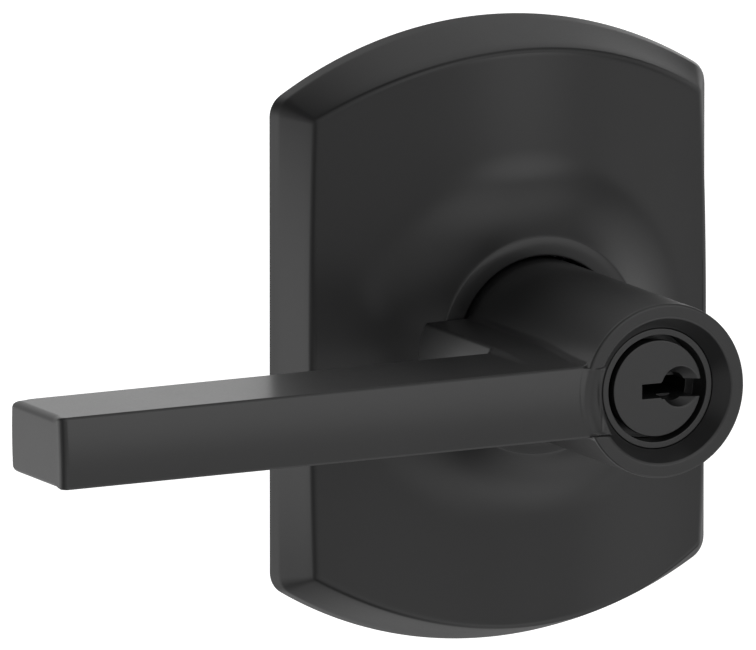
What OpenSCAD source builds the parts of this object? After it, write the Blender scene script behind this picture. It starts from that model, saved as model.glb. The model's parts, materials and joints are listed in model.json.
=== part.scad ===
// Keyed entry door lever, outside half: arched rose, L-shaped lever with a
// key cylinder in its hub, return spring cage and mounting posts.
// Millimetres. +Z is up. The door face is the plane y = 0 and the outside of
// the door is towards -Y. The origin is where the spindle axis crosses the
// door face. Depths below are distances out of the door, so a depth d lies at
// y = -d, and a negative depth is inside the door.

/* [Rose] */
// Width of the rose at the door
rose_w = 70; // [68:1:74]
// Height of the straight sides of the rose
rose_side_h = 70.6; // [68:0.2:74]
// Height of the rose at the top of its arches
rose_h = 91.6; // [90:0.2:96]
// Depth of the drafted lip at the door
rose_lip = 1.7; // [1.2:0.1:2.4]
// How far the lip draws in at the sides of the rose
lip_in_side = 0.8; // [0.4:0.1:1.2]
// How far the lip draws in at the arches of the rose
lip_in_arch = 0.5; // [0.3:0.1:0.9]
// Depth of the face at its four corners
face_edge_d = 7.1; // [6.6:0.1:8]
// Forward crown of the face, from its side edges to its middle
face_crown = 5; // [4:0.2:5.6]
// Width that the bevel takes from each side of the rose
bevel_w = 4.06; // [3.6:0.02:4.4]
// Outward bow of the long side edges of the face
edge_bow = 0.8; // [0.2:0.1:1]
// Depth of the flat collar around the hub
collar_d = 17.6; // [17.2:0.1:17.8]
// Outer radius of the flat collar
collar_r = 15.95; // [15.6:0.05:16.4]
// Radius at which the swell under the collar starts
swell_r = 27; // [26:0.5:29]
// Radius of the hole that the hub turns in
rose_hole_r = 13.1; // [13:0.05:13.4]

/* [Lever] */
// Outer radius of the hub
hub_r = 12.65; // [12.4:0.05:12.8]
// Depth of the hub's front face
hub_front_d = 57.8; // [57.4:0.2:60]
// Depth of the hub's rear end, inside the rose
hub_rear_d = 6.4; // [6.3:0.1:7]
// Reach of the grip from the spindle axis to its tip
grip_reach = 94.95; // [80:0.05:120]
// Height of the grip
grip_h = 10.4; // [10:0.1:11]
// Depth of the front face of the grip
grip_front_d = 57.2; // [56.8:0.1:57.4]
// Thickness of the grip, front to back
grip_t = 16.9; // [15:0.1:18]
// Height of the middle of the grip at the spindle axis
grip_z = -0.73; // [-0.9:0.01:0.2]
// Slope of the grip below level, in degrees
grip_droop = 0.62; // [0:0.02:0.8]
// Distance from the spindle axis to the upper and lower edges of the leg's side
leg_x = 18.75; // [18.4:0.05:19.5]
// Outward bow of the leg's side
leg_bow = 1.3; // [0.4:0.1:1.8]
// How much taller the leg is than the grip, above and below
leg_taller = 0.7; // [0.2:0.1:1]
// Depth of the leg's rear face
leg_rear_d = 18; // [18:0.1:19]
// Depth of the catch hole in the hub
catch_d = 21.5; // [21:0.5:22]

/* [Key cylinder] */
// Depth of the cylinder's front ring and of the plug's face
face_d = 55.4; // [55.2:0.1:55.6]
// Outer radius of the front ring
ring_r = 8.72; // [8.6:0.02:8.74]
// Inner radius of the front ring
ring_inner_r = 7.78; // [7.5:0.02:7.9]
// Radius of the plug's head
plug_head_r = 6.98; // [6.8:0.02:7.1]
// Radius of the plug at the shear line
plug_r = 6.35; // [6.3:0.05:6.35]
// Radius of the well around the keyway
guide_r = 2.45; // [2.3:0.05:2.5]
// Rounding of that well's mouth
guide_lip = 0.6; // [0.4:0.05:0.65]
// Running clearance of the plug in its shell
plug_gap = 0.06; // [0.04:0.01:0.1]
// Radius of the barrel
barrel_r = 9.6; // [9.5:0.05:9.6]
// Radius of the pins
pin_r = 1.42; // [1.35:0.01:1.44]
// Radius of the pin chambers
chamber_r = 1.5; // [1.5:0.01:1.52]
// Depth of the first pin behind the plug's face
first_pin = 5.9; // [5.6:0.1:6.2]
// Distance between pins
pin_pitch = 3.97; // [3.8:0.01:4]

/* [Spindle and spring cage] */
// Outer radius of the drive spindle
spindle_r = 9.6; // [9.5:0.05:9.6]
// Inner radius of the drive spindle
spindle_bore = 8.2; // [8:0.1:8.2]
// Outer radius of the spring cage
cage_r = 15.4; // [15.2:0.1:15.6]
// How far the spring cage reaches into the door
cage_in = 14; // [13.5:0.5:14]
// Distance between the two mounting posts
post_pitch = 41.2; // [41:0.2:42]
// Length of the posts inside the door
post_l = 18; // [16:1:22]
// Radius of the thread bores in the posts
post_bore = 2.1; // [2:0.05:2.5]
// How far the spindle's tail reaches into the door
tail_in = 38; // [34:1:40]
// Wire diameter of the return spring
return_wire = 1.5; // [1.2:0.1:1.6]

/* [Hidden] */
$fn = 96;

black = [0.16, 0.16, 0.165];
steel = [0.62, 0.63, 0.65];
dark_steel = [0.35, 0.36, 0.38];
brass = [0.78, 0.62, 0.3];
spring_steel = [0.5, 0.52, 0.56];
nylon = [0.86, 0.85, 0.8];

n_arch = 18;
n_side = 8;
n_corner = 4;
base_corner_r = 3.6;
face_corner_r = 0.9;
face_w = rose_w / 2 - bevel_w;
face_h = rose_side_h / 2 - 1.9;
face_a = rose_h / 2 - 3.5;
plate_t = 1.6;
plate_raise = 0.3;
plate_raise_r = 26.5;
flange_t = 1.2;
cover_d = plate_t + flange_t;
grip_back_d = grip_front_d - grip_t;
pins = [0, 1, 2, 3, 4];
// Length of each key pin, front to back
key_pin_l = [5.0, 6.2, 5.4, 6.8, 5.8];
driver_l = 4.2;
shear_x = plug_r + plug_gap;
bible_x = 15.5;
bible_z = 3.4;
chamber_end_x = 2.4;
body_front = 52.5;
body_rear = 27.6;

// ---- helpers ----------------------------------------------------------

// Puts its children at depth d with their +Z pointing out of the door, so a
// flat shape's x and y become the object's x and z
module out(d) { translate([0, -d, 0]) rotate([90, 0, 0]) children(); }

// A disc or ring between two depths
module disc(r, d0, d1) { out(d0) cylinder(r = r, h = d1 - d0); }
module ring(r1, r0, d0, d1) { out(d0) difference() { cylinder(r = r1, h = d1 - d0); translate([0, 0, -1]) cylinder(r = r0, h = d1 - d0 + 2); } }

// A straight round hole or pin along X
module xrod(r, x0, x1, d, z = 0) { translate([x0, -d, z]) rotate([0, 90, 0]) cylinder(r = r, h = x1 - x0, $fn = 48); }

// A block given by its limits in x, depth and z
module block(x0, x1, d0, d1, z0, z1) { translate([x0, -d1, z0]) cube([x1 - x0, d1 - d0, z1 - z0]); }

// Corner points of a rectangle with rounded corners, n steps per corner
function round_rect(x0, x1, y0, y1, r, n = 4) = [for (c = [[x1 - r, y1 - r, 0], [x0 + r, y1 - r, 90], [x0 + r, y0 + r, 180], [x1 - r, y0 + r, 270]])
    for (i = [0:n]) [c[0] + r * cos(c[2] + 90 * i / n), c[1] + r * sin(c[2] + 90 * i / n)]];

// Closed outline with straight sides and an arch above and below: half width
// w, half height of the sides h, half height at the middle a, corner radius r
function arch_r(w, h, a) = (w * w + (a - h) * (a - h)) / (2 * (a - h));
function outline(w, h, a, r) = let(R = arch_r(w, h, a), zc = a - R, cx = w - r, cz = zc + sqrt((R - r) * (R - r) - cx * cx), th = atan2(cz - zc, cx)) concat(
    [for (i = [0:n_side - 1]) [w, -cz + 2 * cz * i / n_side]],
    [for (i = [0:n_corner - 1]) let(t = th * i / n_corner) [cx + r * cos(t), cz + r * sin(t)]],
    [for (i = [0:n_arch - 1]) let(t = th + (180 - 2 * th) * i / n_arch) [R * cos(t), zc + R * sin(t)]],
    [for (i = [0:n_corner - 1]) let(t = 180 - th + th * i / n_corner) [-cx + r * cos(t), cz + r * sin(t)]],
    [for (i = [0:n_side - 1]) [-w, cz - 2 * cz * i / n_side]],
    [for (i = [0:n_corner - 1]) let(t = 180 + th * i / n_corner) [-cx + r * cos(t), -cz + r * sin(t)]],
    [for (i = [0:n_arch - 1]) let(t = 180 + th + (180 - 2 * th) * i / n_arch) [R * cos(t), -zc + R * sin(t)]],
    [for (i = [0:n_corner - 1]) let(t = 360 - th + th * i / n_corner) [cx + r * cos(t), -cz + r * sin(t)]]);
function bowed(p) = let(q = min(1, abs(p[1]) / face_h)) [p[0] * (1 + edge_bow / face_w * (1 - q * q)), p[1]];

// Depth of the rose's face at a point: a shallow barrel, and a swell that
// climbs to the collar
function barrel(x, z) = face_edge_d + face_crown * (1 - pow(x / face_w, 2)) + 0.5 * (1 - pow(z / face_h, 2));
function climb(r) = let(s = min(1, max(0, (r - collar_r) / (swell_r - collar_r)))) (1 - s) * (1 - s);
function face_depth(x, z) = let(b = barrel(x, z)) b + (collar_d - b) * climb(norm([x, z]));

// The rose as one closed skin over rings of points
module rose_skin() {
    base = outline(rose_w / 2, rose_side_h / 2, rose_h / 2, base_corner_r);
    front = [for (p = outline(face_w, face_h, face_a, face_corner_r)) bowed(p)];
    n = len(base);
    steps = [0, 0.14, 0.3, 0.44, 0.57, 0.68, 0.78, 0.87, 0.94, 1];
    face = [for (s = steps) [for (p = front) let(c = p * collar_r / norm(p), q = p * (1 - s) + c * s) [q[0], -face_depth(q[0], q[1]), q[1]]]];
    lip = outline(rose_w / 2 - lip_in_side, rose_side_h / 2, rose_h / 2 - lip_in_arch, base_corner_r);
    rings = concat([[for (p = base) [p[0], 0, p[1]]], [for (p = lip) [p[0], -rose_lip, p[1]]]], face);
    m = len(rings);
    points = concat([for (r = rings) for (p = r) p], [[0, 0, 0], [0, -collar_d, 0]]);
    faces = concat(
        [for (k = [0:m - 2]) for (j = [0:n - 1]) [k * n + j, (k + 1) * n + j, (k + 1) * n + (j + 1) % n]],
        [for (k = [0:m - 2]) for (j = [0:n - 1]) [k * n + j, (k + 1) * n + (j + 1) % n, k * n + (j + 1) % n]],
        [for (j = [0:n - 1]) [m * n, j, (j + 1) % n]],
        [for (j = [0:n - 1]) [m * n + 1, (m - 1) * n + (j + 1) % n, (m - 1) * n + j]]);
    polyhedron(points = points, faces = faces, convexity = 4);
}

// Round wire wound about Z
module coil(r, wire, z0, z1, turns, a0 = 0, per_turn = 18, sides = 8) {
    steps = ceil(abs(turns) * per_turn);
    points = [for (i = [0:steps]) let(a = a0 + 360 * turns * i / steps, z = z0 + (z1 - z0) * i / steps)
        for (k = [0:sides - 1]) let(f = 360 * k / sides) [(r + wire / 2 * cos(f)) * cos(a), (r + wire / 2 * cos(f)) * sin(a), z + wire / 2 * sin(f)]];
    faces = concat(
        [for (i = [0:steps - 1]) for (k = [0:sides - 1]) [i * sides + k, i * sides + (k + 1) % sides, (i + 1) * sides + (k + 1) % sides]],
        [for (i = [0:steps - 1]) for (k = [0:sides - 1]) [i * sides + k, (i + 1) * sides + (k + 1) % sides, (i + 1) * sides + k]],
        [[for (k = [sides - 1:-1:0]) k]],
        [[for (k = [0:sides - 1]) steps * sides + k]]);
    polyhedron(points = points, faces = faces, convexity = 6);
}

// Turns its children with the grip's slope, about the spindle axis
module drooped() { rotate([0, -grip_droop, 0]) children(); }

function pin_d(i) = face_d - first_pin - pin_pitch * i;

// ---- pieces that stay with the door ------------------------------------

module rose() {
    color(black) difference() {
        rose_skin();
        // clearance hole for the turning hub
        disc(rose_hole_r, -1, 30);
        // stepped hollow behind the face
        out(-1) linear_extrude(6) polygon(outline(rose_w / 2 - 5.5, rose_side_h / 2 - 4.2, rose_h / 2 - 6, 2.5));
        disc(23, -1, 8.6);
        disc(20.5, -1, 10.4);
        disc(18, -1, 13.2);
        disc(15.2, -1, collar_d - 2);
    }
}

module mounting_plate() {
    color(steel) difference() {
        union() {
            out(0) linear_extrude(plate_t) polygon(outline(rose_w / 2 - 5.8, rose_side_h / 2 - 5, rose_h / 2 - 6.8, 2.5));
            // spring tabs that hold the rose on
            for (s = [-1, 1]) block(s * (rose_w / 2 - 6.4) - 0.5, s * (rose_w / 2 - 6.4) + 0.5, plate_t - 0.2, 4.6, -6, 6);
        }
        disc(cage_r + 0.1, -1, 3);
        // raised middle, which stays clear of the door's bore
        disc(plate_raise_r, -1, plate_raise);
        for (s = [-1, 1]) {
            translate([0, 0, s * post_pitch / 2]) disc(2.6, -1, 3);
            translate([s * 20.2, 0, 0]) disc(1.5, -1, 3);
            // lightening slots above and below the posts
            out(-1) linear_extrude(4) polygon(round_rect(-9, 9, s * 31 - 2.5, s * 31 + 2.5, 2.4));
        }
    }
}

module mounting_posts() {
    color(steel) for (s = [-1, 1]) translate([0, 0, s * post_pitch / 2]) difference() {
        union() {
            disc(4, -post_l, plate_raise);
            disc(2.58, -0.5, plate_t);
            out(plate_t) cylinder(r1 = 3.6, r2 = 2.6, h = 1);
        }
        disc(post_bore, -post_l - 1, -1.5);
        out(-post_l - 0.01) cylinder(r1 = post_bore + 0.6, r2 = post_bore, h = 0.6);
    }
}

module spring_cage() {
    color(steel) difference() {
        union() {
            disc(cage_r, -cage_in, plate_t);
            disc(18.5, plate_t, cover_d);
            for (s = [-1, 1]) out(plate_t) linear_extrude(flange_t) polygon(round_rect(min(s * 14, s * 23.6), max(s * 14, s * 23.6), -4, 4, 3.5));
        }
        difference() {
            disc(cage_r - 1.1, -cage_in + 1.5, cover_d + 1);
            // fixed tab between the two legs of the return spring
            block(-0.8, 0.8, -cage_in, -1, -cage_r, -12.9);
            // stop for the driver cam
            block(-1.3, 1.3, -1, 2.6, 11.7, cage_r);
        }
        disc(spindle_r + 0.06, -cage_in - 1, 0);
        for (s = [-1, 1]) {
            translate([s * 20.2, 0, 0]) disc(1.6, 0, 4);
            // room for the rivet heads of the posts
            translate([0, 0, s * post_pitch / 2]) disc(3.9, 0, 4);
        }
    }
}

module cage_cover() {
    color(steel) difference() {
        union() {
            disc(18.5, cover_d, cover_d + 1.2);
            for (s = [-1, 1]) out(cover_d) linear_extrude(1.2) polygon(round_rect(min(s * 14, s * 23.6), max(s * 14, s * 23.6), -4, 4, 3.5));
        }
        disc(11.2, 0, 6);
        for (s = [-1, 1]) translate([s * 20.2, 0, 0]) disc(1.6, 0, 6);
    }
}

module cage_screws() {
    color(dark_steel) for (s = [-1, 1]) translate([s * 20.2, 0, 0]) difference() {
        union() {
            disc(1.45, plate_raise + 0.1, cover_d + 1.3);
            out(cover_d + 1.2) cylinder(r1 = 2.7, r2 = 2.2, h = 1.5);
        }
        for (a = [0, 90]) translate([0, -(cover_d + 2.9), 0]) rotate([0, a, 0]) cube([2.6, 1.6, 0.6], center = true);
    }
}

module spindle_bush() {
    color(nylon) difference() {
        union() {
            disc(11.15, cover_d + 0.1, cover_d + 1.2);
            disc(12.8, cover_d + 1.2, cover_d + 2);
        }
        disc(spindle_r + 0.06, 0, 8);
    }
}

module thrust_washer() { color(spring_steel) ring(12.4, spindle_r + 0.1, cover_d + 2.1, cover_d + 3.1); }

module return_spring() {
    color(spring_steel) union() {
        a = asin(1.9 / 11.6);
        out(-11.4) coil(11.6, return_wire, 0, 8.2, 5 - 2 * a / 360, -90 + a, 18, 8);
        for (e = [[1.9, 11.4], [-1.9, 3.2]]) translate([e[0], e[1], -13.8]) cylinder(r = return_wire / 2, h = 3.9, $fn = 24);
    }
}

// ---- pieces that turn with the lever ----------------------------------

// Outline of the grip seen from above: radius rf at the tip's front edge, rb at its rear edge
function tip_plan(rf, rb) = concat([[20, -grip_front_d], [20, -grip_back_d]],
    [for (i = [0:3]) [-grip_reach + rb + rb * cos(90 + 30 * i), -grip_back_d - rb + rb * sin(90 + 30 * i)]],
    [for (i = [0:6]) [-grip_reach + rf + rf * cos(180 + 15 * i), -grip_front_d + rf + rf * sin(180 + 15 * i)]]);

module grip_and_leg() {
    z0 = grip_z - grip_h / 2;
    z1 = grip_z + grip_h / 2;
    drooped() union() {
        // grip: a rounded section along X, cut to a rounded plan
        intersection() {
            rotate([90, 0, -90]) linear_extrude(grip_reach) polygon(round_rect(grip_back_d, grip_front_d, z0, z1, 0.4));
            translate([0, 0, z0 - 1]) linear_extrude(grip_h + 2) polygon(tip_plan(1.3, 0.3));
        }
        // leg that carries the grip from the hub; its side is bowed
        intersection() {
            translate([0, 0, z0 - leg_taller]) linear_extrude(grip_h + 2 * leg_taller) polygon(round_rect(-leg_x - leg_bow, 0, -grip_back_d - 1, -leg_rear_d, 0.5, 4));
            out(0) linear_extrude(grip_back_d + 2) polygon(concat([[1, z1 + leg_taller], [1, z0 - leg_taller]],
                [for (i = [-6:6]) [-leg_x - leg_bow * (1 - i * i / 36), grip_z + (grip_h / 2 + leg_taller) * i / 6]]));
        }
        // the taller leg runs out into the grip
        hull() {
            block(-leg_x, 0, grip_back_d + 0.5, grip_back_d + 0.9, z0 - leg_taller, z1 + leg_taller);
            block(-leg_x + 0.4, 0, grip_back_d + 5.6, grip_back_d + 5.7, z0 + 0.1, z1 - 0.1);
        }
    }
}

module lever() {
    z0 = grip_z - grip_h / 2;
    z1 = grip_z + grip_h / 2;
    color(black) difference() {
        union() {
            out(hub_rear_d) rotate_extrude() polygon([[0, 0], [hub_r - 0.5, 0], [hub_r, 0.5], [hub_r, hub_front_d - hub_rear_d - 0.45], [hub_r - 0.45, hub_front_d - hub_rear_d], [0, hub_front_d - hub_rear_d]]);
            grip_and_leg();
        }
        // cone and neck at the front
        out(face_d) cylinder(r1 = 8.85, r2 = 10.65, h = hub_front_d - face_d);
        out(hub_front_d - 0.01) cylinder(r = 10.65, h = 2);
        disc(8.85, 50, face_d + 0.1);
        // bore for the cylinder and the spindle
        disc(barrel_r + 0.06, 0, body_front + 0.06);
        // groove for the clip behind the cylinder
        ring(10.45, 5, 26.25, 27.2);
        // pocket for the pin stack
        block(-16.4, -5, 0, body_front - 0.2, -bible_z - 0.1, bible_z + 0.1);
        // the grip's face runs on across the rim to the cone
        drooped() block(-14, -6, grip_front_d, 60, z0 + 0.3, z1 - 0.3);
        // catch hole on the underside
        translate([0, -catch_d, -20]) cylinder(r = 2.2, h = 16, $fn = 48);
    }
}

module spindle() {
    color(steel) difference() {
        union() {
            disc(spindle_r, -17, 25.9);
            disc(6.2, -tail_in, -16);
        }
        disc(spindle_bore, -15.4, 27);
        disc(4.6, -tail_in - 1, 0);
        // groove for the retaining ring
        ring(11, 8.9, -15.35, -14.35);
        // slots that drive the cam
        for (s = [-1, 1]) block(s * 9.5 - 1.2, s * 9.5 + 1.2, 0.2, 2.4, -1.6, 1.6);
        // slot in the tail
        block(-1.5, 1.5, -tail_in - 1, -20, 3, 8);
        // catch hole
        translate([0, -catch_d, -12]) cylinder(r = 2.1, h = 8, $fn = 48);
    }
}

module retaining_ring() {
    color(spring_steel) difference() {
        ring(11.4, 8.95, -15.3, -14.4);
        block(-3, 3, -16, -13, 6, 13);
    }
}

module driver_cam() {
    color(dark_steel) difference() {
        union() {
            difference() {
                disc(13.8, 0.3, 2.3);
                disc(spindle_r + 0.02, -1, 4);
                // notch that the stop stands in
                out(-1) linear_extrude(5) polygon(concat([[0, 0]], [for (a = [90 - 62:4:90 + 62]) [20 * cos(a), 20 * sin(a)]]));
            }
            ring(11.2, spindle_r + 0.02, 0.3, 2.3);
            for (s = [-1, 1]) block(s * 9.6 - 1.0, s * 9.6 + 1.0, 0.4, 2.2, -1.5, 1.5);
            // arm between the legs of the return spring
            block(-0.8, 0.8, -11.9, 0.5, -10.7, -9.75);
        }
    }
}

module catch_holder() {
    color(dark_steel) difference() {
        disc(spindle_bore - 0.04, 14, 25.4);
        disc(3.3, 13, 27);
        translate([0, -catch_d, -12]) cylinder(r = 2.92, h = 12 - 3.9, $fn = 48);
    }
}

module catch_spring() { color(spring_steel) translate([0, -catch_d, 0]) coil(2.1, 0.4, -6.35, -4.15, 3.5, 0, 16, 6); }

module cylinder_body() {
    color(dark_steel) difference() {
        union() {
            disc(barrel_r, body_rear, body_front);
            disc(ring_r, body_front - 1, face_d);
            block(-bible_x, 0, 31.4, 52, -bible_z, bible_z);
        }
        disc(plug_r + plug_gap, 20, 60);
        disc(ring_inner_r, face_d - 1.2, 60);
        // relief around the seat of the plug's head
        ring(ring_inner_r, 7.06, face_d - 2.5, face_d - 1.1);
        for (i = pins) xrod(chamber_r, -20, -4, pin_d(i));
    }
}

module cylinder_clip() {
    color(spring_steel) difference() {
        ring(10.4, 8, 26.3, 27.1);
        block(-14, -4, 25, 28, -3.6, 3.6);
    }
}

module chamber_cover() { color(brass) block(-bible_x - 0.7, -bible_x, 31.4, 52, -bible_z + 0.1, bible_z - 0.1); }

module pin_spring(i) {
    color(spring_steel) translate([-(shear_x + driver_l + 0.3), -pin_d(i), 0]) rotate([0, -90, 0]) coil(1.1, 0.35, 0, bible_x - shear_x - driver_l - 0.6, 5.5, 0, 12, 6);
}

module driver_pin(i) {
    color(steel) difference() {
        xrod(pin_r, -(shear_x + driver_l), -shear_x - 0.02, pin_d(i));
        // waist of a spool pin
        if (i == 1 || i == 3) difference() {
            xrod(pin_r + 1, -(shear_x + driver_l - 1.1), -shear_x - 1.1, pin_d(i));
            xrod(pin_r - 0.35, -20, 0, pin_d(i));
        }
    }
}

module lever_catch() {
    color(steel) translate([0, -catch_d, 0]) union() {
        translate([0, 0, -7.4]) cylinder(r = 2.8, h = 0.8, $fn = 48);
        translate([0, 0, -11.6]) cylinder(r = 2.0, h = 4.6, $fn = 48);
    }
}

// ---- pieces that turn with the key ------------------------------------

module plug() {
    color(dark_steel) difference() {
        union() {
            disc(plug_r, 27.5, face_d - 0.8);
            disc(plug_head_r, face_d - 1.1, face_d);
            disc(5, 25.7, 27.6);
        }
        // keyway, open on the side away from the pins
        out(28.6) linear_extrude(30) polygon([[-2.4, -1.4], [0.7, -1.4], [0.7, -1.6], [9, -1.6], [9, 0.88], [0.7, 0.88], [0.7, 0.72], [-2.4, 0.72]]);
        // well with a rounded mouth that guides the key in
        translate([3.7, 0, 0]) out(face_d) rotate_extrude() polygon(concat([[0, 0.1], [0, -5], [guide_r, -2.2]],
            [for (a = [0:15:90]) [guide_r + guide_lip * (1 - cos(a)), guide_lip * (sin(a) - 1)]], [[guide_r + guide_lip, 0.1]]));
        // pin chambers
        for (i = pins) xrod(chamber_r, -10, chamber_end_x, pin_d(i));
        // groove for the clip and slot for the tailpiece
        ring(6, 4.6, 26.4, 27.3);
        block(-2.9, 2.9, 20, 27.2, -0.75, 0.75);
    }
}

module plug_clip() {
    color(spring_steel) difference() {
        ring(7.5, 4.65, 26.45, 27.25);
        block(-2, 2, 26, 28, 3, 9);
    }
}

module tailpiece() { color(steel) block(-2.85, 2.85, -40, 27.1, -0.7, 0.7); }

module key_pin(i) {
    color(brass) union() {
        // chamfered top, so the pin clears the shell when the plug turns
        translate([-plug_r + 0.04, -pin_d(i), 0]) rotate([0, 90, 0]) cylinder(r1 = 1, r2 = pin_r, h = 0.25, $fn = 48);
        xrod(pin_r, -plug_r + 0.29, -plug_r + key_pin_l[i] - 1, pin_d(i));
        translate([-plug_r + key_pin_l[i] - 1, -pin_d(i), 0]) rotate([0, 90, 0]) cylinder(r1 = pin_r, r2 = 0.5, h = 1, $fn = 48);
    }
}

rose();
mounting_plate();
mounting_posts();
spring_cage();
cage_cover();
cage_screws();
spindle_bush();
thrust_washer();
return_spring();
lever();
spindle();
retaining_ring();
driver_cam();
catch_holder();
catch_spring();
cylinder_body();
cylinder_clip();
chamber_cover();
pin_spring(0);  // pin_spring_1
pin_spring(1);  // pin_spring_2
pin_spring(2);  // pin_spring_3
pin_spring(3);  // pin_spring_4
pin_spring(4);  // pin_spring_5
lever_catch();
plug();
plug_clip();
tailpiece();
key_pin(0);  // key_pin_1
key_pin(1);  // key_pin_2
key_pin(2);  // key_pin_3
key_pin(3);  // key_pin_4
key_pin(4);  // key_pin_5
driver_pin(0);  // driver_pin_1
driver_pin(1);  // driver_pin_2
driver_pin(2);  // driver_pin_3
driver_pin(3);  // driver_pin_4
driver_pin(4);  // driver_pin_5
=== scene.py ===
"""Keyed entry door lever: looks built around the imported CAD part.

The rose, the lever, the cylinder body and the plug are rebuilt here with the small edge radii, crowned faces and
fillets of the cast and painted parts, inside the CAD sizes. Every other CAD node is kept and gets its material.
Lengths in the shape code are millimetres. d is the depth outwards from the door, so d = -y.
"""

import math

import bpy
import numpy as np
from mathutils import Matrix, Vector
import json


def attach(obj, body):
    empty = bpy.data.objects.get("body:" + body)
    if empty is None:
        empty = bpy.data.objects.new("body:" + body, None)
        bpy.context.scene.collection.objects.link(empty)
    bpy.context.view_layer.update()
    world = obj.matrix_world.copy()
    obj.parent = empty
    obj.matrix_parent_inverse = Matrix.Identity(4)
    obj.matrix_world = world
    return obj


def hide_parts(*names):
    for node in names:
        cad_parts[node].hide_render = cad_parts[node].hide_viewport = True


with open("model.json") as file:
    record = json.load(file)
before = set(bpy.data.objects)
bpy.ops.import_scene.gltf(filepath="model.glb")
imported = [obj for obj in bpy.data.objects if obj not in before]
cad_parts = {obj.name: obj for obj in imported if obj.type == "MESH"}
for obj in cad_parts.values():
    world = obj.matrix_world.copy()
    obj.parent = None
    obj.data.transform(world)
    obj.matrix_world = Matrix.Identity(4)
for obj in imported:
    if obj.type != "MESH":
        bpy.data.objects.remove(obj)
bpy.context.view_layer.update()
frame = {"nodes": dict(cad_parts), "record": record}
NODES = frame["nodes"]
SCENE = bpy.context.scene

# ---------------------------------------------------------------- camera
FOCAL_PX, FRAME_W, FRAME_H = 29352.85, 756.0, 650.0
CAM_DIST = 4.244
ORIGIN_PX = (487.16, 326.054)
AZIMUTH, ELEVATION = math.radians(-25.856), math.radians(10.3)


def make_camera():
    right = Vector((math.cos(AZIMUTH), math.sin(AZIMUTH), 0))
    back = Vector((math.sin(AZIMUTH) * math.cos(ELEVATION), -math.cos(AZIMUTH) * math.cos(ELEVATION), math.sin(ELEVATION)))
    up = back.cross(right)
    tx = (ORIGIN_PX[0] - FRAME_W / 2) / FOCAL_PX * CAM_DIST
    ty = -(ORIGIN_PX[1] - FRAME_H / 2) / FOCAL_PX * CAM_DIST
    place = back * CAM_DIST - right * tx - up * ty
    data = bpy.data.cameras.new("camera")
    data.lens = FOCAL_PX / FRAME_W * 36.0
    data.sensor_width = 36.0
    data.clip_start, data.clip_end = 0.1, 60.0
    cam = bpy.data.objects.new("camera", data)
    SCENE.collection.objects.link(cam)
    cam.matrix_world = Matrix.Translation(place) @ Matrix((right, up, back)).transposed().to_4x4()
    SCENE.camera = cam
    return cam


make_camera()

# ------------------------------------------------------------- materials


class Nodes:
    """Short calls for building a node tree."""

    def __init__(self, tree):
        self.tree = tree
        self.tree.nodes.clear()

    def add(self, kind, inputs=(), **attrs):
        n = self.tree.nodes.new(kind)
        for k, v in attrs.items():
            setattr(n, k, v)
        for k, v in dict(inputs).items():
            s = n.inputs[k]
            if isinstance(v, bpy.types.NodeSocket):
                self.tree.links.new(v, s)
            else:
                s.default_value = v
        return n


def ramp(g, fac, stops):
    n = g.add("ShaderNodeValToRGB", {"Fac": fac})
    cr = n.color_ramp
    while len(cr.elements) > 2:
        cr.elements.remove(cr.elements[-1])
    for i, (pos, val) in enumerate(stops):
        el = cr.elements[i] if i < 2 else cr.elements.new(pos)
        el.position = pos
        el.color = (*val, 1) if isinstance(val, tuple) else (val, val, val, 1)
    return n.outputs["Color"]


def span(g, value, a, b, lo=0.0, hi=1.0):
    return g.add("ShaderNodeMapRange", {"Value": value, "From Min": a, "From Max": b, "To Min": lo, "To Max": hi}, clamp=True).outputs["Result"]


def paint(name, tint, rough, spec=0.5, peel=0.04, coat=0.0):
    """Black satin coat: fine orange peel, faint clouding of tone and gloss."""
    m = bpy.data.materials.new(name)
    m.use_nodes = True
    g = Nodes(m.node_tree)
    at = g.add("ShaderNodeTexCoord").outputs["Object"]
    cloud = g.add("ShaderNodeTexNoise", {"Vector": at, "Scale": 60.0, "Detail": 3.0, "Roughness": 0.55}).outputs["Fac"]
    grain = g.add("ShaderNodeTexNoise", {"Vector": at, "Scale": 2600.0, "Detail": 2.0, "Roughness": 0.5}).outputs["Fac"]
    low = tuple(t * 0.86 for t in tint)
    high = tuple(t * 1.16 for t in tint)
    colour = ramp(g, cloud, [(0.3, low), (0.7, high)])
    fine = span(g, grain, 0.3, 0.7, -0.012, 0.012)
    gloss = g.add("ShaderNodeMath", {0: span(g, cloud, 0.3, 0.7, rough - 0.015, rough + 0.015), 1: fine}, operation="ADD").outputs[0]
    bump = g.add("ShaderNodeBump", {"Height": grain, "Strength": peel, "Distance": 0.00002}).outputs["Normal"]
    b = g.add("ShaderNodeBsdfPrincipled", {"Base Color": colour, "Roughness": gloss, "Normal": bump})
    b.inputs["IOR"].default_value = 1.5
    b.inputs["Specular IOR Level"].default_value = spec
    b.inputs["Coat Weight"].default_value = coat
    b.inputs["Coat Roughness"].default_value = 0.2
    out = g.add("ShaderNodeOutputMaterial", {"Surface": b.outputs[0]})
    return m


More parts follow.
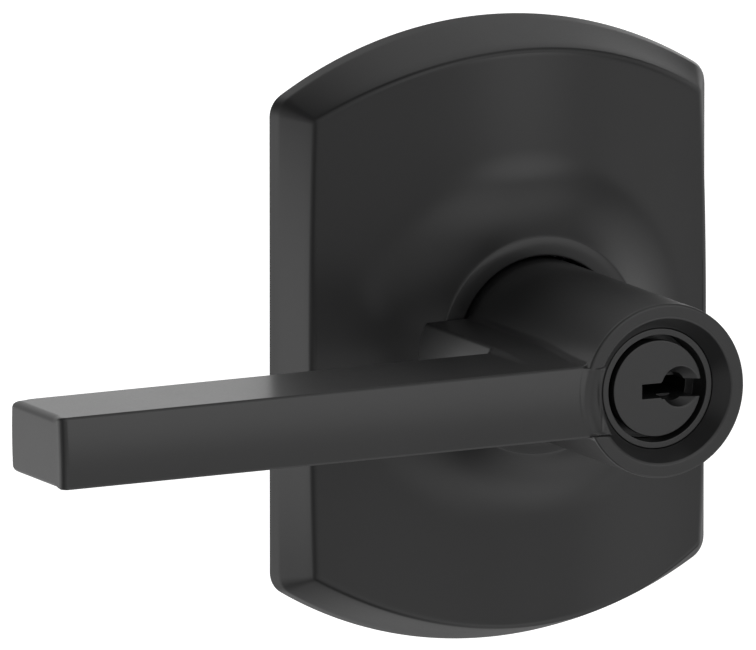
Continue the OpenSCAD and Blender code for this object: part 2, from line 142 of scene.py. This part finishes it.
def metal(name, tint, rough, lines=0.0, spread=0.06, stain=None):
    """Bare or plated metal: clouded tone, drawing or turning marks, uneven gloss."""
    m = bpy.data.materials.new(name)
    m.use_nodes = True
    g = Nodes(m.node_tree)
    at = g.add("ShaderNodeTexCoord").outputs["Object"]
    cloud = g.add("ShaderNodeTexNoise", {"Vector": at, "Scale": 110.0, "Detail": 5.0, "Roughness": 0.6}).outputs["Fac"]
    fine = g.add("ShaderNodeTexNoise", {"Vector": at, "Scale": 1500.0, "Detail": 3.0, "Roughness": 0.6}).outputs["Fac"]
    stretched = g.add("ShaderNodeMapping", {"Vector": at, "Scale": (1.0, 26.0, 1.0)}).outputs["Vector"]
    marks = g.add("ShaderNodeTexNoise", {"Vector": stretched, "Scale": 240.0, "Detail": 4.0, "Roughness": 0.6}).outputs["Fac"]
    dark = stain or tuple(t * 0.8 for t in tint)
    light = tuple(min(1.0, t * 1.07) for t in tint)
    colour = ramp(g, cloud, [(0.32, dark), (0.52, tint), (0.75, light)])
    gloss = g.add("ShaderNodeMath", {0: span(g, cloud, 0.3, 0.7, rough - spread, rough + spread), 1: span(g, fine, 0.3, 0.7, -0.03, 0.03)}, operation="ADD").outputs[0]
    height = g.add("ShaderNodeMath", {0: fine, 1: span(g, marks, 0.2, 0.8, 0.0, 1.0)}, operation="ADD").outputs[0]
    bump = g.add("ShaderNodeBump", {"Height": height, "Strength": 0.06 + lines, "Distance": 0.00003}).outputs["Normal"]
    b = g.add("ShaderNodeBsdfPrincipled", {"Base Color": colour, "Roughness": gloss, "Normal": bump})
    b.inputs["Metallic"].default_value = 1.0
    g.add("ShaderNodeOutputMaterial", {"Surface": b.outputs[0]})
    return m


def nylon(name, tint):
    m = bpy.data.materials.new(name)
    m.use_nodes = True
    g = Nodes(m.node_tree)
    at = g.add("ShaderNodeTexCoord").outputs["Object"]
    cloud = g.add("ShaderNodeTexNoise", {"Vector": at, "Scale": 160.0, "Detail": 4.0}).outputs["Fac"]
    fine = g.add("ShaderNodeTexNoise", {"Vector": at, "Scale": 1900.0, "Detail": 2.0}).outputs["Fac"]
    colour = ramp(g, cloud, [(0.3, tuple(t * 0.92 for t in tint)), (0.7, tint)])
    bump = g.add("ShaderNodeBump", {"Height": fine, "Strength": 0.08, "Distance": 0.00002}).outputs["Normal"]
    b = g.add("ShaderNodeBsdfPrincipled", {"Base Color": colour, "Roughness": span(g, cloud, 0.3, 0.7, 0.42, 0.52), "Normal": bump})
    b.inputs["Subsurface Weight"].default_value = 0.0
    g.add("ShaderNodeOutputMaterial", {"Surface": b.outputs[0]})
    return m


MATERIALS = {
    "black_paint": paint("black_satin_coat", (0.0065, 0.0065, 0.0067), 0.50, spec=0.26, coat=0.34),
    "black_paint_lever": paint("black_satin_coat_lever", (0.0065, 0.0065, 0.0067), 0.50, spec=0.30, coat=0.40),
    "black_cylinder": paint("black_plated_cylinder", (0.0080, 0.0080, 0.0082), 0.50, spec=0.30, coat=0.40, peel=0.03),
    "zinc_plated_steel": metal("zinc_plated_steel", (0.60, 0.61, 0.63), 0.30, stain=(0.47, 0.49, 0.53)),
    "dark_steel": metal("dark_oiled_steel", (0.17, 0.17, 0.175), 0.36),
    "spring_steel": metal("spring_steel", (0.36, 0.37, 0.39), 0.27, lines=0.02),
    "brass": metal("turned_brass", (0.74, 0.52, 0.22), 0.26, lines=0.03, stain=(0.58, 0.38, 0.15)),
    "nylon": nylon("moulded_nylon", (0.80, 0.78, 0.71)),
}

for part in frame["record"]["subparts"]:
    node = NODES[part["node"]]
    node.data.materials.clear()
    node.data.materials.append(MATERIALS[part["material_slot"]])

# ------------------------------------------------- meshes from thin rules


def make_object(name, verts_mm, faces, slot, body, nodes, normals=None, sharp=None, finish=None):
    """A mesh from points (x, d, z) in millimetres; d is turned into -y."""
    v = np.empty((len(verts_mm), 3))
    v[:, 0], v[:, 1], v[:, 2] = verts_mm[:, 0], -verts_mm[:, 1], verts_mm[:, 2]
    me = bpy.data.meshes.new(name)
    f = np.asarray(faces, np.int32)
    a, b, c, e = (v[f[:, k]] for k in range(4))
    if (a * (np.cross(b, c) + np.cross(c, e))).sum() < 0:
        f = np.ascontiguousarray(f[:, ::-1])
    me.vertices.add(len(v))
    me.vertices.foreach_set("co", (v / 1000.0).astype(np.float32).ravel())
    me.loops.add(f.size)
    me.loops.foreach_set("vertex_index", f.ravel())
    me.polygons.add(len(f))
    me.polygons.foreach_set("loop_start", np.arange(0, f.size, 4, dtype=np.int32))
    me.polygons.foreach_set("loop_total", np.full(len(f), 4, np.int32))
    me.polygons.foreach_set("use_smooth", np.ones(len(f), bool))
    me.update(calc_edges=True)
    me.validate()
    if sharp is not None:
        me.set_sharp_from_angle(angle=math.radians(sharp))
    if normals is not None:
        n = np.empty_like(v)
        n[:, 0], n[:, 1], n[:, 2] = normals[:, 0], -normals[:, 1], normals[:, 2]
        me.normals_split_custom_set_from_vertices(n.astype(np.float32).tolist())
    me.materials.append(MATERIALS[finish or slot])
    o = bpy.data.objects.new(name, me)
    SCENE.collection.objects.link(o)
    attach(o, body)
    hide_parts(*nodes)
    return o


def lines(*parts):
    """Grid lines from (start, stop, step) stretches that follow each other."""
    out = []
    for a, b, step in parts:
        n = max(1, int(math.ceil((b - a) / step - 1e-9)))
        out.extend(a + (b - a) * np.arange(n) / n)
    out.append(parts[-1][1])
    return np.array(out)


def both(a, b, r):
    """Rounded intersection of two fields."""
    return np.minimum(-r, np.maximum(a, b)) + np.hypot(np.maximum(a + r, 0), np.maximum(b + r, 0))


def either(a, b, r):
    """Union of two fields with a fillet of radius r in the corner."""
    return np.maximum(r, np.minimum(a, b)) - np.hypot(np.maximum(r - a, 0), np.maximum(r - b, 0))


def smooth(t):
    t = np.clip(t, 0, 1)
    return t * t * (3 - 2 * t)


def surface_net(field, grid, closed=False, rounds=4, reach=0.25):
    """Skin of field < 0 over a bent lattice grid of shape (i, j, k, 3); closed joins the last j to the first."""
    ni, nj, nk = grid.shape[:3]
    flat = grid.reshape(-1, 3)
    val = np.concatenate([field(flat[s : s + 400000]) for s in range(0, len(flat), 400000)]).reshape(ni, nj, nk)
    cj = nj if closed else nj - 1
    inside = val < 0
    cells_at, spots, quads, flips = [], [], [], []

    def cell(i, j, k):
        ok = (i >= 0) & (i < ni - 1) & (k >= 0) & (k < nk - 1)
        if closed:
            j = j % nj
        else:
            ok &= (j >= 0) & (j < nj - 1)
        return np.where(ok, (i * cj + j) * (nk - 1) + k, -1)

    for axis in range(3):
        if axis == 1 and closed:
            a_in, b_in = inside, np.roll(inside, -1, 1)
            a_v, b_v = val, np.roll(val, -1, 1)
            a_p, b_p = grid, np.roll(grid, -1, 1)
        else:
            lo = [slice(None)] * 3
            hi = [slice(None)] * 3
            lo[axis], hi[axis] = slice(0, -1), slice(1, None)
            a_in, b_in = inside[tuple(lo)], inside[tuple(hi)]
            a_v, b_v = val[tuple(lo)], val[tuple(hi)]
            a_p, b_p = grid[tuple(lo)], grid[tuple(hi)]
        i, j, k = np.nonzero(a_in != b_in)
        va, vb = a_v[i, j, k], b_v[i, j, k]
        t = (va / (va - vb))[:, None]
        p = a_p[i, j, k] * (1 - t) + b_p[i, j, k] * t
        u, w = [x for x in range(3) if x != axis]
        around = []
        for du, dw in ((0, 0), (-1, 0), (-1, -1), (0, -1)):
            c = [i, j, k]
            c[u] = c[u] + du
            c[w] = c[w] + dw
            around.append(cell(*c))
        around = np.stack(around, 1)
        for n in range(4):
            ok = around[:, n] >= 0
            cells_at.append(around[ok, n])
            spots.append(p[ok])
        whole = (around >= 0).all(1)
        q = around[whole]
        turn = a_in[i, j, k][whole]
        if axis == 1:
            turn = ~turn
        q[turn] = q[turn][:, ::-1]
        quads.append(q)
    cells_at = np.concatenate(cells_at)
    spots = np.concatenate(spots)
    names, where = np.unique(cells_at, return_inverse=True)
    count = np.bincount(where)
    v = np.stack([np.bincount(where, spots[:, c]) for c in range(3)], 1) / count[:, None]
    f = np.searchsorted(names, np.concatenate(quads))
    f = f[(f[:, 0] != f[:, 2]) & (f[:, 1] != f[:, 3])]

    def slope(p, h=0.002):
        g = np.empty_like(p)
        for c in range(3):
            e = np.zeros(3)
            e[c] = h
            g[:, c] = (field(p + e) - field(p - e)) / (2 * h)
        return g

    for _ in range(rounds):
        g = slope(v)
        step = (field(v) / np.maximum((g * g).sum(1), 0.2))[:, None] * g
        size = np.linalg.norm(step, axis=1, keepdims=True)
        v = v - step * np.minimum(1, reach / np.maximum(size, 1e-9))
    g = slope(v)
    return v, f, g / np.maximum(np.linalg.norm(g, axis=1, keepdims=True), 1e-9)


def face_out(v, f, n):
    """Turns the faces so that they look the way the normals do."""
    a = np.cross(v[f[:, 2]] - v[f[:, 0]], v[f[:, 3]] - v[f[:, 1]])
    m = n[f].sum(1)
    keep = (a * m).sum(1)
    return f if keep.sum() > 0 else f[:, ::-1]


# ------------------------------------------------------------------ lever
# The lever is worked out in a frame that is turned with the slope of the grip.
HUB_R, HUB_FRONT, HUB_REAR = 12.65, 57.8, 6.4
REACH, GRIP_Z, GRIP_HZ = 94.95, -0.73, 5.2
GRIP_FRONT, GRIP_BACK = 57.2, 40.3
LEG_X, LEG_BOW, LEG_TALLER, LEG_REAR = 18.75, 1.3, 0.7, 18.0
DROOP = math.radians(0.62)
CONE_R, NECK_R, FACE_D = 10.65, 8.79, 55.4
LEAN, CROWN = 0.16, 0.26


def front_of_grip(q):
    """Depth of the grip's front face across its height, q from -1 to 1."""
    return GRIP_FRONT - LEAN * (1 + q) - CROWN * q * q


def lever_field(p):
    x, d, z = p[:, 0], p[:, 1], p[:, 2]
    r = np.hypot(x, z)
    q = np.clip((z - GRIP_Z) / GRIP_HZ, -1.15, 1.15)
    front = d - front_of_grip(q)
    # the leg is a little taller and runs out into the grip's top
    taller = np.maximum(smooth((40.2 - d) / 0.6), smooth((54.5 - d) / 14.5) * smooth((x + LEG_X + 0.9) / 1.4))
    slab = np.abs(z - GRIP_Z) - GRIP_HZ - LEG_TALLER * taller
    end = -REACH - x + 0.06 * q * q
    grip = both(both(both(end, front, 1.3), GRIP_BACK - d + 0.1 * q * q, 0.3), x - 1.0, 0.1)
    t = (z - GRIP_Z) / (GRIP_HZ + LEG_TALLER)
    leg = both(both(-LEG_X - LEG_BOW * (1 - t * t) - x, LEG_REAR - d, 0.5), np.maximum(d - 56.0, x - 1.0), 0.1)
    body = both(either(grip, leg, 0.9), slab, 0.4 + 0.7 * smooth((-91.6 - x) / 2.4) * smooth((56.2 - d) / 2.4))
    hub = both(both(r - HUB_R, d - HUB_FRONT, 0.42), HUB_REAR - d, 0.5)
    f = either(hub, body, 0.7)
    # the grip's face runs on across the rim
    cut = np.maximum(np.maximum(-front, np.abs(z - GRIP_Z) - (GRIP_HZ - 0.25)), x + 6)
    f = both(f, -cut, 0.1)
    # hollow: cone, neck, bore, clip groove and pin pocket
    cone = (r - NECK_R) * 0.8 - (d - FACE_D) * 0.6
    hole = np.minimum(cone, r - NECK_R)
    beside = smooth((-8.0 - x) / 1.6) * smooth((5.3 - np.abs(z - GRIP_Z)) / 0.9)
    f = both(f, -hole, 0.22 + 1.9 * beside)
    c, s = math.cos(DROOP), math.sin(DROOP)
    xx, zz = x * c - z * s, x * s + z * c
    bore = np.maximum(r - 9.66, d - 52.56)
    groove = np.maximum(r - 10.45, np.abs(d - 26.725) - 0.475)
    pocket = np.maximum(np.maximum(np.abs(xx + 10.7) - 5.7, d - 52.3), np.abs(zz) - 3.5)
    f = np.maximum(f, -np.minimum(np.minimum(bore, groove), pocket))
    catch = np.maximum(np.hypot(xx, d - 21.5) - 2.2, zz + 4)
    return both(f, -catch, 0.3)


def hub_lattice(radii, far, ring_r, sector, steps, depths, blend=5.0):
    """Polar lattice about the spindle axis whose lines run straight along the grip beyond ring_r.
    sector holds the heights of the lines that carry on along the grip, steps the number of lines round the rest."""
    edge = math.asin(sector[-1] / ring_r)
    left = math.pi - np.arcsin(sector[::-1] / ring_r)
    start, stop = left[-1], left[0] + 2 * math.pi
    rest = start + (stop - start) * np.arange(1, steps) / steps
    theta = np.concatenate([left, rest])
    height = np.concatenate([sector[::-1], np.zeros(len(rest))])
    in_sector = np.arange(len(theta)) < len(left)
    near = radii
    grid = np.empty((len(near) + len(far), len(theta), len(depths), 3))
    for i, r in enumerate(near):
        grid[i, :, :, 0] = (r * np.cos(theta))[:, None]
        grid[i, :, :, 2] = (r * np.sin(theta))[:, None]
    arc = np.sqrt(np.maximum(ring_r**2 - height**2, 0))
    for i, r in enumerate(far):
        w = smooth((r - ring_r) / blend)
        x = np.where(in_sector, -((1 - w) * arc + w * ring_r) - (r - ring_r), r * np.cos(theta))
        z = np.where(in_sector, height, r * np.sin(theta))
        grid[len(near) + i, :, :, 0] = x[:, None]
        grid[len(near) + i, :, :, 2] = z[:, None]
    grid[:, :, :, 1] = depths[None, None, :]
    return grid


def make_lever():
    z0, z1 = GRIP_Z - GRIP_HZ, GRIP_Z + GRIP_HZ
    radii = lines((4.0, 8.4, 1.1), (8.4, 9.3, 0.15), (9.3, 9.9, 0.15), (9.9, 10.3, 0.2), (10.3, 11.0, 0.1), (11.0, 12.1, 0.28), (12.1, 12.75, 0.1), (12.75, 13.5, 0.25))
    far = lines((13.75, 17.4, 0.45), (17.4, 20.6, 0.28), (20.6, 24.0, 0.85), (24.0, 92.0, 2.35), (92.0, 95.2, 0.19))
    sector = lines((-8.4, z0 - 0.4, 0.3), (z0 - 0.4, z0 + 0.8, 0.13), (z0 + 0.8, z1 - 0.8, 0.55), (z1 - 0.8, z1 + 0.4, 0.13), (z1 + 0.4, 8.4, 0.3))
    depths = lines(
        (6.1, 7.2, 0.2), (7.2, 17.2, 1.25), (17.2, 17.9, 0.35), (17.9, 20.2, 0.25), (20.2, 24.0, 0.38), (24.0, 25.9, 0.6), (25.9, 27.5, 0.27), (27.5, 39.9, 1.2), (39.9, 41.9, 0.22),
        (41.9, 51.6, 1.1), (51.6, 52.9, 0.22), (52.9, 55.0, 0.42), (55.0, 55.8, 0.2), (55.8, 57.0, 0.15), (57.0, 58.0, 0.1)
    )
    grid = hub_lattice(radii, far, 13.5, sector, 150, depths)
    v, f, n = surface_net(lever_field, grid, closed=True)
    f = face_out(v, f, n)
    c, s = math.cos(DROOP), math.sin(DROOP)
    for a in (v, n):
        x, z = a[:, 0].copy(), a[:, 2].copy()
        a[:, 0], a[:, 2] = x * c - z * s, x * s + z * c
    print("lever", len(v), "points", len(f), "faces")
    return make_object("lever_cast", v, f, "black_paint", "handle", ["lever"], normals=n, finish="black_paint_lever")


make_lever()

# ------------------------------------------------------------------- rose
ROSE_W, SIDE_H, ROSE_H, LIP = 70.0, 70.6, 91.6, 1.7
LIP_IN_SIDE, LIP_IN_ARCH = 0.8, 0.5
EDGE_D, FACE_CROWN, BEVEL, BOW = 7.1, 5.0, 4.06, 0.8
COLLAR_D, COLLAR_R, SWELL_R, HOLE_R = 17.6, 15.95, 27.0, 13.1
FACE_W, FACE_H, FACE_A = ROSE_W / 2 - BEVEL, SIDE_H / 2 - 1.9, ROSE_H / 2 - 3.5


def outline(w, h, a, r, side=30, corner=8, arch=84):
    """Straight sides with an arch above and below and rounded corners, as in the CAD."""
    big = (w * w + (a - h) ** 2) / (2 * (a - h))
    zc = a - big
    cx = w - r
    cz = zc + math.sqrt((big - r) ** 2 - cx * cx)
    th = math.atan2(cz - zc, cx)
    i, k, m = np.arange(side) / side, np.arange(corner) / corner, np.arange(arch) / arch
    right = np.stack([np.full(side, w), -cz + 2 * cz * i], 1)
    c1 = np.stack([cx + r * np.cos(th * k), cz + r * np.sin(th * k)], 1)
    t = th + (math.pi - 2 * th) * m
    top = np.stack([big * np.cos(t), zc + big * np.sin(t)], 1)
    t = math.pi - th + th * k
    c2 = np.stack([-cx + r * np.cos(t), cz + r * np.sin(t)], 1)
    half = np.concatenate([right, c1, top, c2])
    return np.concatenate([half, -half])


def barrel(x, z):
    return EDGE_D + FACE_CROWN * (1 - (x / FACE_W) ** 2) + 0.5 * (1 - (z / FACE_H) ** 2)


def rose_face(x, z):
    b = barrel(x, z)
    # a little wider and softer at its foot than the CAD's parabola, within 0.2 mm of it
    s = np.clip((np.hypot(x, z) - COLLAR_R) / (SWELL_R + 1.2 - COLLAR_R), 0, 1)
    return b + (COLLAR_D - b) * (1 - s) ** 2.5


def make_rose():
    base = outline(ROSE_W / 2, SIDE_H / 2, ROSE_H / 2, 3.6)
    front = outline(FACE_W, FACE_H, FACE_A, 0.9)
    q = np.minimum(1, np.abs(front[:, 1]) / FACE_H)
    front = front * np.stack([1 + BOW / FACE_W * (1 - q * q), np.ones(len(q))], 1)
    hollow = outline(ROSE_W / 2 - 5.5, SIDE_H / 2 - 4.2, ROSE_H / 2 - 6, 2.5)
    unit = front / np.linalg.norm(front, axis=1, keepdims=True)

    def at(xz, d):
        return np.stack([xz[:, 0], np.broadcast_to(d, len(xz)), xz[:, 1]], 1)

    def circle(r, d):
        return at(unit * r, d)

    def on_face(s):
        p = front * (1 - s) + unit * COLLAR_R * s
        return at(p, rose_face(p[:, 0], p[:, 1]))

    def bend(a, corner, b, n):
        """Rounded corner from ring a to ring b."""
        out = []
        for k in range(n + 1):
            t = k / n
            out.append(a * (1 - t) ** 2 + corner * 2 * t * (1 - t) + b * t * t)
        return out

    def toward(p, q, dist):
        e = q - p
        return p + e / np.linalg.norm(e, axis=1, keepdims=True) * dist

    lip = outline(ROSE_W / 2 - LIP_IN_SIDE, SIDE_H / 2, ROSE_H / 2 - LIP_IN_ARCH, 3.6)
    lip0, lip1, edge = at(base, 0.0), at(lip, LIP), at(front, rose_face(front[:, 0], front[:, 1]))
    rings = [at(base * 0.997, 0.0), toward(lip0, lip1, 0.12), toward(lip0, lip1, 0.9)]
    rings += bend(toward(lip1, lip0, 0.3), lip1, toward(lip1, edge, 0.3), 4)
    for t in (0.25, 0.5, 0.75):
        rings.append(lip1 * (1 - t) + edge * t)
    span_len = np.linalg.norm(front - unit * COLLAR_R, axis=1)
    first = 0.75
    rings += bend(toward(edge, lip1, 0.7), edge, on_face_at(front, unit, span_len, first), 7)
    steps = np.concatenate([np.linspace(0.04, 0.44, 9), np.linspace(0.47, 0.985, 34)])
    for s in steps:
        rings.append(on_face(s))
    crease = circle(COLLAR_R, COLLAR_D)
    rings += bend(on_face(0.985 + 0.0), crease, circle(COLLAR_R - 0.16, COLLAR_D), 4)[1:]
    rings += [circle(14.6, COLLAR_D)]
    lipc = circle(HOLE_R, COLLAR_D)
    rings += bend(circle(HOLE_R + 0.3, COLLAR_D), lipc, circle(HOLE_R, COLLAR_D - 0.3), 5)
    rings += [circle(HOLE_R, COLLAR_D - 2), circle(15.2, COLLAR_D - 2), circle(15.2, 13.2), circle(18, 13.2), circle(18, 10.4), circle(20.5, 10.4), circle(20.5, 8.6), circle(23, 8.6), circle(23, 5.0)]
    rings += [at(hollow, 5.0), at(hollow, 0.0)]
    rings = np.stack(rings)
    m, n = rings.shape[:2]
    v = rings.reshape(-1, 3)
    a, j = np.meshgrid(np.arange(m), np.arange(n), indexing="ij")
    b, k = (a + 1) % m, (j + 1) % n
    f = np.stack([a * n + j, a * n + k, b * n + k, b * n + j], -1).reshape(-1, 4)
    return make_object("rose_cast", v, f, "black_paint", "trim", ["rose"], sharp=32)


def on_face_at(front, unit, span_len, dist):
    s = (dist / span_len)[:, None]
    p = front * (1 - s) + unit * COLLAR_R * s
    return np.stack([p[:, 0], rose_face(p[:, 0], p[:, 1]), p[:, 1]], 1)


make_rose()

# -------------------------------------------------- cylinder body and plug


def cylinder_field(p):
    x, d, z = p[:, 0], p[:, 1], p[:, 2]
    r = np.hypot(x, z)
    barrel_part = both(both(r - 9.6, d - 52.5, 0.2), 27.6 - d, 0.2)
    head = both(both(r - 8.72, d - FACE_D, 0.16), 51.5 - d, 0.05)
    bible = both(both(both(np.abs(z) - 3.4, -15.5 - x, 0.25), x, 0.1), both(d - 52.0, 31.4 - d, 0.1), 0.2)
    f = np.minimum(np.minimum(barrel_part, head), bible)
    f = both(f, -(np.maximum(r - 7.78, 54.2 - d)), 0.12)
    # the groove round the plug is deeper here than in the CAD, so that its floor stays in the dark
    f = np.maximum(f, -np.maximum(r - 7.78, 51.3 - d))
    f = np.maximum(f, -(r - 6.41))
    for i in range(5):
        f = np.maximum(f, -np.maximum(np.hypot(z, d - (49.5 - 3.97 * i)) - 1.5, x + 4))
    return f


def make_cylinder():
    radii = lines((5.4, 6.2, 0.4), (6.2, 6.6, 0.1), (6.6, 7.3, 0.14), (7.3, 7.6, 0.15), (7.6, 8.0, 0.05), (8.0, 8.5, 0.1), (8.5, 8.8, 0.05), (8.8, 9.4, 0.2), (9.4, 9.8, 0.1), (9.8, 10.6, 0.4))
    far = lines((11.0, 15.0, 0.6), (15.0, 15.9, 0.15))
    sector = lines((-4.4, -3.6, 0.4), (-3.6, -3.2, 0.1), (-3.2, -1.8, 0.35), (-1.8, 1.8, 0.3), (1.8, 3.2, 0.35), (3.2, 3.6, 0.1), (3.6, 4.4, 0.4))
    depths = lines((27.3, 28.0, 0.15), (28.0, 31.2, 1.2), (31.2, 31.7, 0.15), (31.7, 51.9, 0.36), (51.9, 52.7, 0.12), (52.7, 53.1, 0.1), (53.1, 53.9, 0.4), (53.9, 54.5, 0.1), (54.5, 55.1, 0.2), (55.1, 55.6, 0.05))
    grid = hub_lattice(radii, far, 10.6, sector, 150, depths, blend=2.0)
    v, f, n = surface_net(cylinder_field, grid, closed=True, reach=0.15)
    print("cylinder", len(v), "points", len(f), "faces")
    return make_object("cylinder_shell", v, face_out(v, f, n), "black_cylinder", "handle", ["cylinder_body"], normals=n)


def plug_field(p):
    x, d, z = p[:, 0], p[:, 1], p[:, 2]
    r = np.hypot(x, z)
    shaft = both(both(r - 6.35, d - 55.0, 0.05), 27.5 - d, 0.1)
    head = both(both(r - 6.98, d - FACE_D, 0.14), 54.3 - d, 0.05)
    tail = both(both(r - 5.0, d - 28.0, 0.05), 25.7 - d, 0.2)
    f = np.minimum(np.minimum(shaft, head), tail)
    narrow = np.maximum(np.abs(x + 0.7) - 1.7, np.abs(z + 0.34) - 1.06)
    wide = np.maximum(0.7 - x, np.abs(z + 0.36) - 1.24)
    way = np.maximum(np.minimum(narrow, wide), 28.6 - d)
    # well around the keyway: deep on the left, with a ramp out to the right
    down = FACE_D - d
    bore = np.maximum(np.hypot(x - 2.85, z) - 2.05, down - 4.2)
    ramp = 0.76 * (np.hypot(x - 3.7 + 0.8 * down, z) - 2.97 + 0.75 * down)
    f = both(f, -np.minimum(bore, ramp), 0.12)
    f = both(f, -way, 0.09)
    for i in range(5):
        f = np.maximum(f, -np.maximum(np.hypot(z, d - (49.5 - 3.97 * i)) - 1.5, x - 2.4))
    clip = np.maximum(4.6 - r, np.abs(d - 26.85) - 0.45)
    slot = np.maximum(np.maximum(np.abs(x) - 2.9, np.abs(z) - 0.75), d - 27.2)
    return np.maximum(f, -np.minimum(clip, slot))


def make_plug():
    side = lines((-7.2, -2.7, 0.12), (-2.7, 7.2, 0.11))
    up = lines((-7.2, -1.9, 0.12), (-1.9, 1.3, 0.08), (1.3, 7.2, 0.12))
    depths = lines((25.5, 26.2, 0.25), (26.2, 28.9, 0.18), (28.9, 31.9, 1.0), (31.9, 50.3, 0.5), (50.3, 54.1, 0.42), (54.1, 54.6, 0.1), (54.6, 55.1, 0.12), (55.1, 55.55, 0.07))
    grid = np.stack(np.meshgrid(side, depths, up, indexing="ij"), -1)
    v, f, n = surface_net(plug_field, grid, reach=0.1)
    print("plug", len(v), "points", len(f), "faces")
    return make_object("plug_turned", v, face_out(v, f, n), "black_cylinder", "key_plug", ["plug"], normals=n)


make_cylinder()
make_plug()

# ---------------------------------------------------------- stage and light


def make_floor():
    me = bpy.data.meshes.new("floor")
    x0, x1, y0, y1, z = -5.0, 5.0, -0.9, 8.0, -0.3
    me.from_pydata([(x0, y0, z), (x1, y0, z), (x1, y1, z), (x0, y1, z)], [], [(0, 1, 2, 3)])
    o = bpy.data.objects.new("floor", me)
    SCENE.collection.objects.link(o)
    m = bpy.data.materials.new("pale_floor")
    m.use_nodes = True
    g = Nodes(m.node_tree)
    b = g.add("ShaderNodeBsdfPrincipled")
    b.inputs["Base Color"].default_value = (0.86, 0.86, 0.86, 1)
    b.inputs["Roughness"].default_value = 0.8
    b.inputs["Emission Color"].default_value = (1, 1, 1, 1)
    b.inputs["Emission Strength"].default_value = 0.61
    clear = g.add("ShaderNodeBsdfTransparent")
    back = g.add("ShaderNodeNewGeometry").outputs["Backfacing"]
    mix = g.add("ShaderNodeMixShader", {0: back, 1: b.outputs[0], 2: clear.outputs[0]})
    g.add("ShaderNodeOutputMaterial", {"Surface": mix.outputs[0]})
    me.materials.append(m)
    o.visible_glossy = False


make_floor()


def make_world():
    """A white studio: broad soft lights all round the object, placed by azimuth and elevation."""
    w = bpy.data.worlds.new("studio")
    SCENE.world = w
    w.use_nodes = True
    g = Nodes(w.node_tree)
    way = g.add("ShaderNodeTexCoord").outputs["Generated"]

    def soft_light(azimuth, elevation, amount, wide=42.0, core=6.0):
        """One soft round light; azimuth 0 is in front of the door and 90 to its right."""
        a, e = math.radians(azimuth), math.radians(elevation)
        axis = Vector((math.sin(a) * math.cos(e), -math.cos(a) * math.cos(e), math.sin(e)))
        dot = g.add("ShaderNodeVectorMath", {0: way, 1: axis}, operation="DOT_PRODUCT").outputs["Value"]
        return g.add("ShaderNodeMapRange", {"Value": dot, "From Min": math.cos(math.radians(wide)), "From Max": math.cos(math.radians(core)), "To Min": 0.0, "To Max": amount}, interpolation_type="SMOOTHSTEP").outputs["Result"]

    terms = [soft_light(*light) for light in STUDIO]
    total = terms[0]
    for t in terms[1:]:
        total = g.add("ShaderNodeMath", {0: total, 1: t}, operation="ADD").outputs[0]
    bg = g.add("ShaderNodeBackground", {"Color": total, "Strength": 1.0})
    g.add("ShaderNodeOutputWorld", {"Surface": bg.outputs[0]})


STUDIO = [
    (21, 30, 0.98), (-21, 30, 0.81), (21, -30, 0.73), (-21, -30, 0.85),
    (90, 0, 0.91), (-90, 0, 0.60), (58, 54, 0.56), (58, -54, 0.92),
    (148, 0, 0.39), (180, 58, 0.65), (180, -58, 0.53),
    (-122, -18, 1.95), (-159, 30, 0.92), (-159, -30, 0.55),
    (140, 10, 0.69, 20, 3), (155, 10, 0.49, 20, 3), (155, 30, 0.37, 20, 3),
    (26, 4, 1.80, 16, 2), (50, -12, 0.90, 14, 2),
]
make_world()

SCENE.view_settings.view_transform = "Standard"
SCENE.view_settings.look = "None"
SCENE.view_settings.exposure = 0.0
SCENE.view_settings.gamma = 1.0

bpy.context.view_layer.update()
import json
